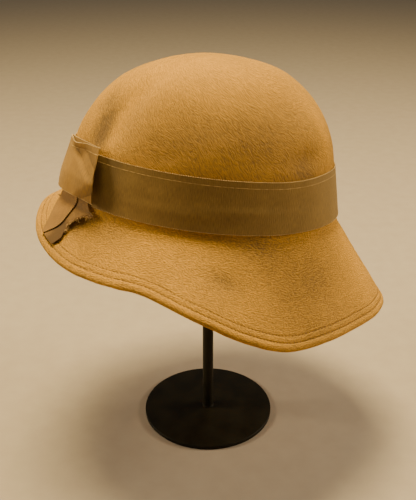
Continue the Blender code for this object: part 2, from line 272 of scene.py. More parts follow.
def around(name, azimuth):
    """Smooth closed curve through one column of the hat's sections."""
    places = column(SECTIONS, SECTION_COLUMNS, "azimuth")
    values = column(SECTIONS, SECTION_COLUMNS, name)
    places = np.concatenate([places[-2:] - 360, places, places[:3] + 360])
    values = np.concatenate([values[-2:], values, values[:3]])
    slopes = np.zeros(len(places))
    slopes[1:-1] = (values[2:] - values[:-2]) / (places[2:] - places[:-2])
    turn = np.mod(np.asarray(azimuth, float), 360)
    k = np.searchsorted(places, turn, side="right") - 1
    gap = places[k + 1] - places[k]
    s = (turn - places[k]) / gap
    ends = values[k] * (1 + 2 * s) * (1 - s) ** 2 + values[k + 1] * s**2 * (3 - 2 * s)
    return ends + gap * (slopes[k] * s * (1 - s) ** 2 - slopes[k + 1] * s**2 * (1 - s))


def smooth_step(share):
    """Ease from 0 to 1."""
    share = np.clip(share, 0, 1)
    return share * share * (3 - 2 * share)


def hump(value, middle, wide):
    """Smooth hill of height 1."""
    return np.exp(-(((value - middle) / wide) ** 2))


def oval(azimuth, share):
    """Plan of the crown's foot, shrunk to a share of its size."""
    turn = np.radians(azimuth)
    return CROWN_LENGTH / 2 * np.cos(turn) * share, CROWN_WIDTH / 2 * np.sin(turn) * share


def front_share(azimuth):
    """How far a section belongs to the hat's front: 1 straight ahead, 0 from 60 degrees aside."""
    return smooth_step((np.cos(np.radians(azimuth)) - 0.5) / 0.45)


def outward(azimuth):
    """Level direction away from the oval."""
    turn = np.radians(azimuth)
    x = np.cos(turn) / CROWN_LENGTH
    y = np.sin(turn) / CROWN_WIDTH
    size = np.hypot(x, y)
    return x / size, y / size


def wall(azimuth, height, off=0.0):
    """Point on the straight wall under the band, or that far off it."""
    front = front_share(azimuth)
    lean = WALL_LEAN + (FRONT_PUSH + FRONT_DRAW) * front
    x, y = oval(azimuth, 1 + FRONT_PUSH * front - lean * height / RIBBON_WIDTH)
    out_x, out_y = outward(azimuth)
    return np.stack([x + out_x * off, y + out_y * off, height + FRONT_RAISE * front], -1)


def crown(azimuth, climb):
    """Point on the crown above the band: climb runs from 0 at the band to 90 at the top."""
    power = 2 / around("fullness", azimuth)
    turn = np.radians(climb)
    level = np.clip(np.cos(turn), 0, 1) ** power
    rise = np.sin(turn) ** power
    front = front_share(azimuth)
    x, y = oval(azimuth, level * (1 - WALL_LEAN - FRONT_DRAW * front) * (1 - CROWN_LEAN * rise))
    z = RIBBON_WIDTH + (CROWN_HEIGHT - RIBBON_WIDTH) * rise + FRONT_RAISE * front * (1 - rise)
    out_x, out_y = outward(azimuth)
    for row in DENTS:
        dent = dict(zip(DENT_COLUMNS, row))
        aside = (np.mod(azimuth - dent["azimuth"] + 180, 360) - 180) / dent["wide"]
        above = (z / CROWN_HEIGHT - dent["height"]) / dent["tall"]
        push = dent["depth"] * CROWN_HEIGHT * np.exp(-(aside**2) - above**2)
        push = push * smooth_step(climb / DENT_FADE) * smooth_step(2 * level)
        x = x - out_x * push
        y = y - out_y * push
    return np.stack([x, y, z], -1)


def brim(azimuth, share):
    """Point on the brim: share runs from 0 at the crown's foot to 1 at the rim."""
    reach = BRIM_REACH * around("reach", azimuth)
    middles = (np.arange(BRIM_SAMPLES) + 0.5) / BRIM_SAMPLES
    length = share * reach
    run = middles * length[..., None]
    bend = smooth_step(run / ROOT_CURVE)
    root = around("root", azimuth)[..., None]
    rim = around("rim", azimuth)[..., None]
    open_fall = root + (rim - root) * run / reach[..., None]
    fall = np.radians(ROOT_FALL * (1 - bend) + open_fall * bend)
    out = np.cos(fall).mean(-1) * length
    down = np.sin(fall).mean(-1) * length
    front = front_share(azimuth)
    x, y = oval(azimuth, 1 + FRONT_PUSH * front)
    out_x, out_y = outward(azimuth)
    return np.stack([x + out_x * out, y + out_y * out, FRONT_RAISE * front - down], -1)


def felt(azimuth, run):
    """Point on the felt's outer face. run: -2 top, -1 band's top, 0 crown's foot, 1 rim."""
    azimuth, run = np.broadcast_arrays(np.asarray(azimuth, float), np.asarray(run, float))
    over = crown(azimuth, np.clip(-run - 1, 0, 1) * 90)
    beside = wall(azimuth, np.clip(-run, 0, 1) * RIBBON_WIDTH)
    below = brim(azimuth, np.clip(run, 0, 1))
    high = (run < -1)[..., None]
    low = (run > 0)[..., None]
    return np.where(high, over, np.where(low, below, beside))


def unit(vectors):
    """Vectors shrunk to length 1."""
    return vectors / np.maximum(np.linalg.norm(vectors, axis=-1, keepdims=True), 1e-12)


def felt_ways(azimuth, run):
    """Directions on the felt at each place: round the hat, up the section, and outward."""
    azimuth, run = np.broadcast_arrays(np.asarray(azimuth, float), np.asarray(run, float))
    run = np.clip(run, -1.995, 0.998)
    turn = unit(felt(azimuth + 0.2, run) - felt(azimuth - 0.2, run))
    climb = unit(felt(azimuth, run - 0.002) - felt(azimuth, run + 0.002))
    return turn, climb, unit(np.cross(turn, climb))


def felt_normal(azimuth, run):
    """Direction away from the felt's outer face, straight up at the very top."""
    top = (np.asarray(run) <= -1.999)[..., None]
    return np.where(top, (0.0, 0.0, 1.0), felt_ways(azimuth, run)[2])


def lifted(azimuth, run, lift):
    """Point that stands off the felt's outer face."""
    return felt(azimuth, run) + felt_normal(azimuth, run) * np.asarray(lift)[..., None]


def swell(azimuth, run, name):
    """Sum of the felt's swells, or of their tones of painted light and shade and nap, at each
    place.
    """
    total = 0 * azimuth + 0 * run
    for row in SWELLS:
        soft = dict(zip(SWELL_COLUMNS, row))
        aside = (np.mod(azimuth - soft["azimuth"] + 180, 360) - 180) / soft["wide"]
        above = (run - soft["run"]) / soft["tall"]
        total = total + soft[name] * np.exp(-(aside**2) - above**2)
    return total


def ripple(points, size):
    """Smooth unevenness from -1 to 1 with humps of about that size."""
    return np.array([noise.noise(Vector(point) / size) for point in points])


def mapped_grid(across, along, place, chart=None, capped=False, shade=None):
    """Mesh from a grid of cells whose corners place(u, v) moves, its weave laid by chart(u, v).

    shade(u, v) paints light and shade into its colour, through its tone.
    """
    mesh = bmesh.new()
    weave = mesh.loops.layers.uv.new("weave")
    bmesh.ops.create_grid(mesh, x_segments=across, y_segments=along, size=0.5)
    mesh.verts.ensure_lookup_table()
    shares = np.array([corner.co[:2] for corner in mesh.verts]) + 0.5
    laid = shares if chart is None else np.stack(chart(shares[:, 0], shares[:, 1]), -1)
    for face in mesh.faces:
        for loop in face.loops:
            loop[weave].uv = laid[loop.vert.index]
    tone = mesh.verts.layers.float.new("tone")
    tones = 0 * shares[:, 0] if shade is None else shade(shares[:, 0], shares[:, 1])
    for corner, point, depth in zip(mesh.verts, place(shares[:, 0], shares[:, 1]), tones):
        corner.co = point
        corner[tone] = depth
    bmesh.ops.remove_doubles(mesh, verts=mesh.verts, dist=WELD)
    if capped:
        bmesh.ops.holes_fill(mesh, edges=[edge for edge in mesh.edges if edge.is_boundary])
    bmesh.ops.recalc_face_normals(mesh, faces=mesh.faces)
    return mesh


def picked(stations, share):
    """Number of the station that a grid's share from 0 to 1 stands for."""
    return np.rint(share * (len(stations) - 1)).astype(int)


def hat_seat():
    """Turn and place of the hat on the stand."""
    turn = Euler((math.radians(-LIFT_NEAR_SIDE), math.radians(DIP_FORWARD), 0)).to_matrix().to_4x4()
    return Matrix.Translation((SEAT_SHIFT, 0, SEAT_HEIGHT)) @ turn


def mesh_data(name, mesh):
    """Mesh data from a bmesh, which is freed."""
    data = bpy.data.meshes.new(name)
    mesh.to_mesh(data)
    mesh.free()
    return data


def linked(name, data):
    """New object in the scene."""
    thing = bpy.data.objects.new(name, data)
    bpy.context.collection.objects.link(thing)
    return thing


def finish(name, mesh, surface, node, seated=True, sharp=60):
    """Make one smooth shaded piece that stands for a CAD node, seated as the hat is."""
    if seated:
        bmesh.ops.transform(mesh, matrix=hat_seat(), verts=mesh.verts)
    data = mesh_data(name, mesh)
    data.shade_smooth()
    data.set_sharp_from_angle(angle=math.radians(sharp))
    data.materials.append(surface)
    thing = linked(name, data)
    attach(thing, "root")
    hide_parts(node)
    return thing


def placed(point, along, up):
    """Matrix that stands a small shape at a point, its X along and its Z up."""
    side = np.cross(up, along)
    return Matrix(np.vstack([np.stack([along, side, up, point], -1), (0, 0, 0, 1)]).tolist())


def seeds(mesh, points, alongs, ups, size):
    """Add one small rounded bead at each point, with its length, width and height."""
    shape = Matrix.Diagonal((*size, 1)) @ Matrix.Rotation(math.pi / 2, 4, "Y")
    for start in range(0, len(points), BEADS_AT_ONCE):
        few = bmesh.new()
        for k in range(start, min(start + BEADS_AT_ONCE, len(points))):
            bmesh.ops.create_uvsphere(few, u_segments=6, v_segments=4, radius=0.5,
                                      matrix=placed(points[k], alongs[k], ups[k]) @ shape)
        data = mesh_data("beads", few)
        mesh.from_mesh(data)
        bpy.data.meshes.remove(data)


def spaced(points, pitch):
    """Numbers, along a dense line of points, of places one pitch apart."""
    steps = np.linalg.norm(np.diff(points, axis=0), axis=1)
    walk = np.concatenate([[0], np.cumsum(steps)])
    count = max(int(round(walk[-1] / pitch)), 1)
    return np.interp(np.arange(count) * walk[-1] / count, walk, np.arange(len(points)))


# Materials


class Wiring:
    """Short hand for one node tree."""

    def __init__(self, tree):
        self.tree = tree

    def add(self, kind, settings=(), **inputs):
        """New node with its settings and the values or links of its inputs."""
        node = self.tree.nodes.new(kind)
        for name, value in dict(settings).items():
            setattr(node, name, value)
        for name, value in inputs.items():
            self.feed(node, name.replace("_", " "), value)
        return node

    def feed(self, node, name, value):
        """Set or link one input, named or numbered."""
        key = int(name) if name.isdigit() else name
        if isinstance(value, bpy.types.NodeSocket):
            self.tree.links.new(value, node.inputs[key])
        else:
            node.inputs[key].default_value = value

    def sum(self, operation, *values, clamp=False):
        """Math node's result."""
        node = self.tree.nodes.new("ShaderNodeMath")
        node.operation = operation
        node.use_clamp = clamp
        for k, value in enumerate(values):
            self.feed(node, str(k), value)
        return node.outputs[0]

    def plus(self, value, more, share, clamp=False):
        """Value and a share of another."""
        return self.sum("ADD", value, self.sum("MULTIPLY", more, share), clamp=clamp)

    def vector(self, operation, first, second=None, scale=None):
        """Vector Math node's result."""
        node = self.tree.nodes.new("ShaderNodeVectorMath")
        node.operation = operation
        self.feed(node, "0", first)
        if second is not None:
            self.feed(node, "1", second)
        if scale is not None:
            self.feed(node, "Scale", scale)
        return node.outputs[0]

    def noise(self, place, scale, detail=2.0, roughness=0.5):
        """Noise texture's value."""
        node = self.add("ShaderNodeTexNoise", Vector=place, Scale=scale, Detail=detail,
                        Roughness=roughness)
        return node.outputs["Fac"]

    def stretch(self, value, low, high, start=0.0, end=1.0, smooth=False):
        """Value mapped from one range to another."""
        node = self.tree.nodes.new("ShaderNodeMapRange")
        node.interpolation_type = "SMOOTHSTEP" if smooth else "LINEAR"
        for k, given in enumerate((value, low, high, start, end)):
            self.feed(node, str(k), given)
        return node.outputs[0]

    def blend(self, share, first, second):
        """Mix of two colours."""
        node = self.tree.nodes.new("ShaderNodeMix")
        node.data_type = "RGBA"
        self.feed(node, "0", share)
        self.feed(node, "6", first)
        self.feed(node, "7", second)
        return node.outputs[2]


def new_group(name, takes, gives):
    """Shader node group with named inputs and outputs."""
    tree = bpy.data.node_groups.new(name, "ShaderNodeTree")
    for way, sockets in (("INPUT", takes), ("OUTPUT", gives)):
        for label, kind in sockets:
            tree.interface.new_socket(label, in_out=way, socket_type="NodeSocket" + kind)
    given = tree.nodes.new("NodeGroupInput").outputs
    return tree, Wiring(tree), given, tree.nodes.new("NodeGroupOutput")


def brushed_nap_group():
    """Streaks of fibre that lie along a brushed direction, with finer fuzz between them."""
    tree, wire, given, out = new_group(
        "brushed_nap",
        [("Place", "Vector"), ("Way", "Vector"), ("Fibre", "Float"), ("Length", "Float")],
        [("Streaks", "Float"), ("Fuzz", "Float"), ("Height", "Float")])
    scale = wire.sum("DIVIDE", 1.0, given["Fibre"])
    waver = wire.add("ShaderNodeTexNoise", Vector=given["Place"], Scale=130.0, Detail=1.0)
    drift = wire.vector("SUBTRACT", waver.outputs["Color"], (0.5, 0.5, 0.5))
    way = wire.vector("ADD", given["Way"], wire.vector("SCALE", drift, scale=1.1))
    taps = []
    for share in (-0.5, -0.33, -0.17, 0.0, 0.17, 0.33, 0.5):
        step = wire.vector("SCALE", way, scale=wire.sum("MULTIPLY", given["Length"], share))
        taps.append(wire.noise(wire.vector("ADD", given["Place"], step), scale, 1.0))
    total = taps[0]
    for tap in taps[1:]:
        total = wire.sum("ADD", total, tap)
    mean = wire.sum("DIVIDE", total, float(len(taps)))
    streaks = wire.stretch(mean, 0.40, 0.60)
    fine = wire.noise(given["Place"], wire.sum("MULTIPLY", scale, 2.6), 2.0, 0.6)
    fuzz = wire.stretch(fine, 0.3, 0.7)
    height = wire.plus(wire.sum("MULTIPLY", streaks, 0.68), fuzz, 0.32)
    for name, value in (("Streaks", streaks), ("Fuzz", fuzz), ("Height", height)):
        tree.links.new(value, out.inputs[name])
    return tree


def grosgrain_group():
    """Ribs across a ribbon and the fine weft between them, from its weave in metres."""
    tree, wire, given, out = new_group(
        "grosgrain_ribs",
        [("Weave", "Vector"), ("Rib", "Float")],
        [("Ribs", "Float"), ("Weft", "Float"), ("Height", "Float")])
    split = wire.add("ShaderNodeSeparateXYZ", Vector=given["Weave"])
    slow = wire.noise(given["Weave"], 90.0, 1.0)
    phase = wire.plus(wire.sum("DIVIDE", split.outputs[0], given["Rib"]), slow, 0.8)
    rib = wire.sum("MULTIPLY", wire.sum("SINE", wire.sum("MULTIPLY", phase, 2 * math.pi)), 0.5)
    squash = wire.add("ShaderNodeMapping", Vector=given["Weave"], Scale=(2600.0, 240.0, 1.0))
    weft = wire.stretch(wire.noise(squash.outputs[0], 1.0, 2.0), 0.3, 0.7)
    height = wire.plus(wire.sum("MULTIPLY", rib, 0.22), weft, 0.60)
    for name, value in (("Ribs", wire.sum("ADD", rib, 0.5)), ("Weft", weft), ("Height", height)):
        tree.links.new(value, out.inputs[name])
    return tree


def new_material(name, **shader):
    """Principled material with its wiring, its shader node and the place on the piece."""
    made = bpy.data.materials.new(name)
    made.use_nodes = True
    wire = Wiring(made.node_tree)
    node = made.node_tree.nodes["Principled BSDF"]
    for label, value in shader.items():
        node.inputs[label.replace("_", " ")].default_value = value
    made.diffuse_color = node.inputs["Base Color"].default_value
    return made, wire, node, wire.add("ShaderNodeTexCoord").outputs["Object"]


def use_group(wire, tree, **inputs):
    """A group's node in a material."""
    return wire.add("ShaderNodeGroup", {"node_tree": tree}, **inputs).outputs


def bump(wire, height, distance, strength=1.0):
    """Normal from a height."""
    node = wire.add("ShaderNodeBump", Height=height, Distance=distance, Strength=strength)
    return node.outputs[0]


def camel_felt(nap):
    """Golden camel wool felt with its nap brushed one way."""
    made, wire, shader, place = new_material(
        "camel_felt", Base_Color=(0.50, 0.26, 0.07, 1), Roughness=0.92, Specular_IOR_Level=0.10,
        Sheen_Weight=0.04, Sheen_Roughness=0.5, Sheen_Tint=(1.0, 0.66, 0.28, 1))
    way = wire.add("ShaderNodeAttribute", {"attribute_name": "nap"}).outputs["Vector"]
    tone = wire.add("ShaderNodeAttribute", {"attribute_name": "tone"}).outputs["Fac"]
    lay = use_group(wire, nap, Place=place, Way=way, Fibre=0.00072, Length=0.0021)
    long_lay = use_group(wire, nap, Place=place, Way=way, Fibre=0.0015, Length=0.0040)
    cloud = wire.stretch(wire.noise(place, 38.0, 3.0), 0.3, 0.7, -1.0, 1.0)
    shade = wire.sum("ADD", wire.stretch(lay["Streaks"], 0.0, 1.0, -0.20, 0.20),
                     wire.stretch(long_lay["Streaks"], 0.0, 1.0, -0.04, 0.04))
    shade = wire.sum("ADD", shade, wire.stretch(lay["Fuzz"], 0.0, 1.0, -0.14, 0.14))
    # The tone attribute paints light and shade into the felt's colour, mixed with lighter and
    # darker nap.
    shade = wire.plus(wire.plus(shade, cloud, 0.05), tone, 0.45)
    share = wire.sum("ADD", shade, 0.5, clamp=True)
    colour = wire.blend(share, (0.215, 0.126, 0.050, 1), (0.880, 0.437, 0.044, 1))
    wire.feed(shader, "Base Color", colour)
    wire.feed(shader, "Roughness", wire.stretch(lay["Streaks"], 0.0, 1.0, 0.98, 0.82))
    height = wire.plus(lay["Height"], long_lay["Height"], 0.25)
    wire.feed(shader, "Normal", bump(wire, height, 0.00075))
    return made


def grosgrain(name, ribs, dark, light, sheen, pulled=True):
    """Ribbed ribbon and, where asked, a pulled thread near its upper edge."""
    made, wire, shader, place = new_material(
        name, Base_Color=light, Roughness=0.7, Specular_IOR_Level=0.30, Sheen_Weight=sheen,
        Sheen_Roughness=0.4, Sheen_Tint=(1.0, 0.85, 0.6, 1))
    weave = wire.add("ShaderNodeUVMap", {"uv_map": "weave"}).outputs[0]
    rows = use_group(wire, ribs, Weave=weave, Rib=0.0015)
    cloud = wire.stretch(wire.noise(place, 60.0, 3.0), 0.3, 0.7, -1.0, 1.0)
    share = wire.sum("ADD", wire.stretch(rows["Ribs"], 0.0, 1.0, 0.47, 0.53),
                     wire.stretch(rows["Weft"], 0.0, 1.0, -0.26, 0.26))
    # The tone attribute paints light and shade into the ribbon's colour.
    tone = wire.add("ShaderNodeAttribute", {"attribute_name": "tone"}).outputs["Fac"]
    share = wire.plus(wire.sum("ADD", share, tone), cloud, 0.12, clamp=True)
    colour = wire.blend(share, dark, light)
    height = rows["Height"]
    if pulled:
        across = wire.add("ShaderNodeSeparateXYZ", Vector=weave).outputs[1]
        off = wire.sum("ABSOLUTE", wire.sum("SUBTRACT", across, RIBBON_WIDTH - PULL_DROP))
        line = wire.stretch(off, 0.0, 0.00055, 1.0, 0.0, smooth=True)
        broken = wire.stretch(wire.noise(weave, 420.0, 1.0), 0.40, 0.60, 0.35, 1.0)
        line = wire.sum("MULTIPLY", line, broken)
        colour = wire.blend(wire.sum("MULTIPLY", line, 0.65), colour, (0.62, 0.39, 0.13, 1))
        height = wire.plus(height, line, 1.4)
    wire.feed(shader, "Base Color", colour)
    wire.feed(shader, "Roughness", wire.stretch(rows["Weft"], 0.0, 1.0, 0.62, 0.82))
    wire.feed(shader, "Normal", bump(wire, height, 0.00016, 0.8))
    return made


def thread(name, dark, light):
    """Twisted sewing thread."""
    made, wire, shader, place = new_material(
        name, Base_Color=light, Roughness=0.75, Specular_IOR_Level=0.3, Sheen_Weight=0.2)
    grain = wire.stretch(wire.noise(place, 2600.0, 2.0), 0.3, 0.7)
    wire.feed(shader, "Base Color", wire.blend(grain, dark, light))
    wire.feed(shader, "Roughness", wire.stretch(grain, 0.0, 1.0, 0.85, 0.65))
    wire.feed(shader, "Normal", bump(wire, grain, 0.00008))
    return made


def black_coat():
    """Matt black powder coat with a fine orange peel, dust and a few rubbed places."""
    made, wire, shader, place = new_material(
        "black_coat", Base_Color=(0.010, 0.009, 0.008, 1), Roughness=0.6, Specular_IOR_Level=0.16)
    peel = wire.noise(place, 1500.0, 2.0)
    smear = wire.stretch(wire.noise(place, 55.0, 4.0, 0.6), 0.35, 0.70)
    specks = wire.stretch(wire.noise(place, 900.0, 1.0), 0.74, 0.80)
    bright = wire.plus(wire.sum("MULTIPLY", smear, 0.35), specks, 0.6)
    colour = wire.blend(bright, (0.009, 0.007, 0.003, 1), (0.036, 0.028, 0.013, 1))
    wire.feed(shader, "Base Color", colour)
    wire.feed(shader, "Roughness", wire.stretch(smear, 0.0, 1.0, 0.40, 0.58))
    wire.feed(shader, "Normal", bump(wire, peel, 0.00003, 0.6))
    return made


def black_cloth():
    """Plain dark knitted cover of the stand's head."""
    made, wire, shader, place = new_material(
        "black_cloth", Base_Color=(0.03, 0.03, 0.03, 1), Roughness=0.9, Sheen_Weight=0.3)
    cells = wire.add("ShaderNodeTexVoronoi", Vector=place, Scale=900.0).outputs["Distance"]
    cloud = wire.noise(place, 70.0, 3.0)
    colour = wire.blend(cloud, (0.016, 0.016, 0.017, 1), (0.045, 0.044, 0.043, 1))
    wire.feed(shader, "Base Color", colour)
    wire.feed(shader, "Roughness", wire.stretch(cells, 0.0, 0.6, 0.80, 0.97))
    wire.feed(shader, "Normal", bump(wire, cells, 0.0003, 0.8))
    return made


# Felt body


def felt_rows():
    """Rows of the felt's section, from the top outside round the hem to the top inside.

    A row holds a fixed run, a share of the brim inside the hem, an inset from the rim, how deep it
    lies below the outer face, and its place in degrees on the round edge of the hem.
    """
    outer = [(run, 0, 0) for run in -1 - np.linspace(1, 0, 61)]
    outer += [(run, 0, 0) for run in (-0.97, -0.9, -0.7, -0.4, -0.15, -0.04, 0)]
    outer += [(0, share, 0) for share in (0.02, 0.045, 0.07)]
    outer += [(0, share, 0) for share in np.linspace(0.10, 0.97, 34)]
    insets = (0.0126, 0.0120, 0.0116, 0.0112, 0.0108, 0.0104, 0.0100, 0.0094, 0.0086, 0.0078,
              0.0071, 0.0067, 0.0063, 0.0060, 0.0057, 0.0053, 0.0048, 0.0040, 0.0032, 0.0025)
    outer += [(1, 0, inset) for inset in insets]
    rows = [(*row, 0, 0) for row in outer]
    rows += [(1, 0, 0.0025, 0, turn) for turn in range(18, 180, 18)]
    rows += [(1, 0, inset, HEM_THICKNESS, 0) for inset in reversed(insets[3:])]
    rows += [(1, 0, 0.0122, 0.0040, 0), (1, 0, 0.0132, 0.0030, 0)]
    shares = (0.96, 0.9, 0.8, 0.68, 0.56, 0.44, 0.32, 0.2, 0.1, 0.05)
    rows += [(0, share, 0, FELT, 0) for share in shares]
    rows += [(run, 0, 0, FELT, 0) for run in (0, -0.1, -0.4, -0.7, -0.9)]
    rows += [(run, 0, 0, FELT, 0) for run in -1 - np.linspace(0, 1, 31)]
    return np.array(rows, float)


def hem_relief(inset):
    """Lift of the hem's outer face: two sewn grooves, the pad between them and the full edge."""
    relief = 0 * inset
    for row in STITCH_ROWS:
        relief = relief - GROOVE_DEPTH * hump(inset, row, GROOVE_WIDTH)
    relief = relief + HEM_PAD * hump(inset, (STITCH_ROWS[0] + STITCH_ROWS[1]) / 2, 0.0017)
    return relief + HEM_EDGE * hump(inset, 0.0034, 0.0015)


def rim_inset(azimuth, run):
    """Distance from the rim along the felt."""
    return (1 - run) * BRIM_REACH * around("reach", azimuth)


def felt_surface(azimuth, run, depth=0.0):
    """Point on the finished felt, with its swells and sewn hem, that far below the outer face."""
    plain = felt(azimuth, run)
    fade = smooth_step((-1 - run) / 0.08) + smooth_step((run - 0.05) / 0.1)
    lift = swell(azimuth, run, "lift") * 0.001 + 0.00045 * ripple(plain, 0.034)
    lift = lift * fade + 0.00013 * ripple(plain, 0.009)
    inner = smooth_step((depth - FELT) / (HEM_THICKNESS - FELT))
    relief = hem_relief(rim_inset(azimuth, run))
    lift = lift + relief * np.where(depth > 0, -inner, 1.0)
    return plain + felt_normal(azimuth, run) * (lift - depth)[..., None]


def felt_piece(cloth):
    """Crown and brim in one hollow wall, the rim turned under as a round sewn hem."""
    rows = felt_rows()

    def read(u, v):
        row = rows[picked(rows, v)]
        azimuth = 360 * u
        reach = BRIM_REACH * around("reach", azimuth)
        run = row[:, 0] + row[:, 1] * (1 - HEM_WIDTH / reach) - row[:, 2] / reach
        return azimuth, run, row[:, 3], np.radians(row[:, 4])

    def place(u, v):
        azimuth, run, depth, turn = read(u, v)
        points = felt_surface(azimuth, run, depth)
        ahead = unit(felt(azimuth, run) - felt(azimuth, run - 0.01))
        normal = felt_ways(azimuth, run)[2]
        bow = ahead * np.sin(turn)[:, None] - normal * (1 - np.cos(turn))[:, None]
        wave = 1 + 0.12 * ripple(points, 0.012)
        return points + bow * (HEM_THICKNESS / 2 * wave)[:, None]

    mesh = bmesh.new()
    bmesh.ops.create_grid(mesh, x_segments=FELT_AROUND, y_segments=len(rows) - 1, size=0.5)
    shares = np.array([corner.co[:2] for corner in mesh.verts]) + 0.5
    azimuth, run, depth, turn = read(shares[:, 0], shares[:, 1])
    points = place(shares[:, 0], shares[:, 1])
    ways = nap_way(azimuth, run)
    # Tones: the inner face is darker, the swells paint light and shade mixed with nap, and painted
    # shade darkens the felt along the two sewn grooves.
    tones = np.where(depth > 0, -0.15, swell(azimuth, run, "tone"))
    inset = rim_inset(azimuth, run)
    for row in STITCH_ROWS:
        tones = tones - 0.18 * hump(inset, row, 0.0005)
    nap = mesh.verts.layers.float_vector.new("nap")
    tone = mesh.verts.layers.float.new("tone")
    turned = np.array(hat_seat().to_3x3())
    for corner, point, way, shade in zip(mesh.verts, points, ways @ turned.T, tones):
        corner.co = point
        corner[nap] = way
        corner[tone] = shade
    bmesh.ops.remove_doubles(mesh, verts=mesh.verts, dist=WELD)
    bmesh.ops.recalc_face_normals(mesh, faces=mesh.faces)
    return finish("felt", mesh, cloth, "felt_body")


def nap_way(azimuth, run):
    """Direction and length of the nap: slanting on the crown, short and near level on the brim."""
    turn, climb, normal = felt_ways(azimuth, run)
    points = felt(azimuth, run)
    slant = np.where(run < -0.5, 44.0, 6.0) + 24 * ripple(points, 0.030)
    slant = np.radians(slant + 18 * ripple(points, 0.009))[:, None]
    way = turn * np.cos(slant) - climb * np.sin(slant)
    level = unit(np.array(TOP_NAP) - normal * (normal @ np.array(TOP_NAP))[:, None])
    high = smooth_step((-1.72 - run) / 0.2)[:, None]
    return unit(way * (1 - high) + level * high) * np.where(run < -0.5, 1.0, 0.55)[:, None]


def hem_stitches(cotton):
    """Two rows of small stitches round the hem, above and below."""
    mesh = bmesh.new()
    azimuth = np.linspace(0, 360, HEM_POINTS)
    for inset in STITCH_ROWS:
        run = 1 - inset / (BRIM_REACH * around("reach", azimuth))
        for depth in (0.0, HEM_THICKNESS):
            line = felt_surface(azimuth, run, depth + 0 * azimuth)
            normal = felt_ways(azimuth, run)[2] * (1 if depth == 0 else -1)
            line = line + normal * STITCH_RISE
            along = unit(np.roll(line, -1, 0) - line)
            along[-1] = along[0]
            spots = np.rint(spaced(line, STITCH_PITCH)).astype(int)
            seeds(mesh, line[spots], along[spots], normal[spots],
                  (STITCH_LENGTH, STITCH_THICK, STITCH_THICK))
    return finish("hem_stitches", mesh, cotton, "felt_body")


# Ribbons


def cloth_section(count, thick=CLOTH):
    """Stations round a ribbon's section: shares across it and heights through it."""
    sides = np.linspace(0, 1, count)
    section = [(side, thick) for side in sides] + [(side, 0.0) for side in reversed(sides)]
    return np.array(section + section[:1])


def band_lift(azimuth, side):
    """How far the band's inner face stands off the wall: side 0 at its foot, 1 at its top."""
    lift = CLEARANCE + 0.0011 * hump(azimuth, 316, 11) * smooth_step((side - 0.45) / 0.55)
    for row in BAND_PUFFS:
        puff = dict(zip(BAND_COLUMNS, row))
        beside = puff["lift"] * hump(azimuth, puff["azimuth"], puff["wide"])
        lift = lift + beside * hump(side, puff["side"], puff["tall"])
    return lift


def band_point(azimuth, side, height):
    """Point on the band."""
    run = -0.02 - 0.98 * side
    base = lifted(azimuth, run, band_lift(azimuth, side) + height)
    wave = 0.00016 * (1 + ripple(np.stack([azimuth * 0.0016, side * 0.037, 0 * side], -1), 0.014))
    return base + felt_ways(azimuth, run)[2] * wave[:, None]


def band_piece(ribbon):
    """Ribbon round the foot of the crown."""
    section = cloth_section(26)

    def place(u, v):
        side, height = section[picked(section, v)].T
        return band_point(360 * u, side, height)

    def chart(u, v):
        side = section[picked(section, v)][:, 0]
        return np.radians(360 * u) * BAND_WEAVE, side * RIBBON_WIDTH

    # Painted shadow that the loop's near end casts on the band.
    def shade(u, v):
        return -0.55 * hump(360 * u, 229, 5)

    mesh = mapped_grid(BAND_AROUND, len(section) - 1, place, chart, shade=shade)
    return finish("band", mesh, ribbon, "ribbon_band")


def picots(mesh, line, up, pitch=PICOT_PITCH, size=PICOT):
    """Row of small thread loops along a ribbon's edge."""
    along = unit(np.gradient(line, axis=0))
    up = unit(up - along * (up * along).sum(-1, keepdims=True))
    spots = np.rint(spaced(line, pitch)).astype(int)
    seeds(mesh, line[spots], along[spots], up[spots], tuple(size * part for part in PICOT_SHAPE))


def band_edges(cotton):
    """Picots of the band's two selvedges."""
    mesh = bmesh.new()
    azimuth = np.linspace(0, 360, BAND_POINTS)
    normal = felt_ways(azimuth, -0.5)[2]
    for side in (0.0, 1.0):
        line = band_point(azimuth, side + 0 * azimuth, CLOTH * 0.55 + 0 * azimuth)
        picots(mesh, line, normal)
    return finish("band_picots", mesh, cotton, "ribbon_band")


def loop_value(name, height):
    """One column of the loop's table at each height."""
    return read_off(LOOP_ROWS, LOOP_COLUMNS, name, height)


def loop_point(turn, height, inset):
    """Point on the bow's loop: turn is 0 at its near fold and runs to 180 over its outer face."""
    turn = np.radians(turn)
    near = loop_value("near", height)
    far = loop_value("far", height)
    side = np.cos(turn)
    tuck = np.degrees(inset / ((CROWN_LENGTH + CROWN_WIDTH) / 4))
    azimuth = (near + far) / 2 + ((near - far) / 2 - tuck) * side
    puff = CLOTH + LOOP_PUFF * loop_value("puff", height)
    stack = 3 * CLEARANCE + CLOTH + (2 * CLOTH + 3 * CLEARANCE) * loop_value("over", height)
    bulge = np.sign(np.sin(turn)) * np.abs(np.sin(turn)) ** LOOP_BLUNT
    off = stack + LOOP_FLARE * loop_value("flare", height) + puff + (puff - inset) * bulge
    off = off + loop_value("spring", height) * smooth_step((side - 0.1) / 0.9) * 0.001
    off = off + loop_folds(side, height) * np.clip(bulge, 0, 1)
    sink = LOOP_SINK * ((near - azimuth) / (near - far)) ** 2
    droop = LOOP_DROOP * hump(side, -0.05, 0.42) * smooth_step((height - 0.55) / 0.45)
    level = LOOP_RISE + RIBBON_WIDTH * height - sink - droop * np.clip(bulge, 0, 1)
    return wall(azimuth, level, off)


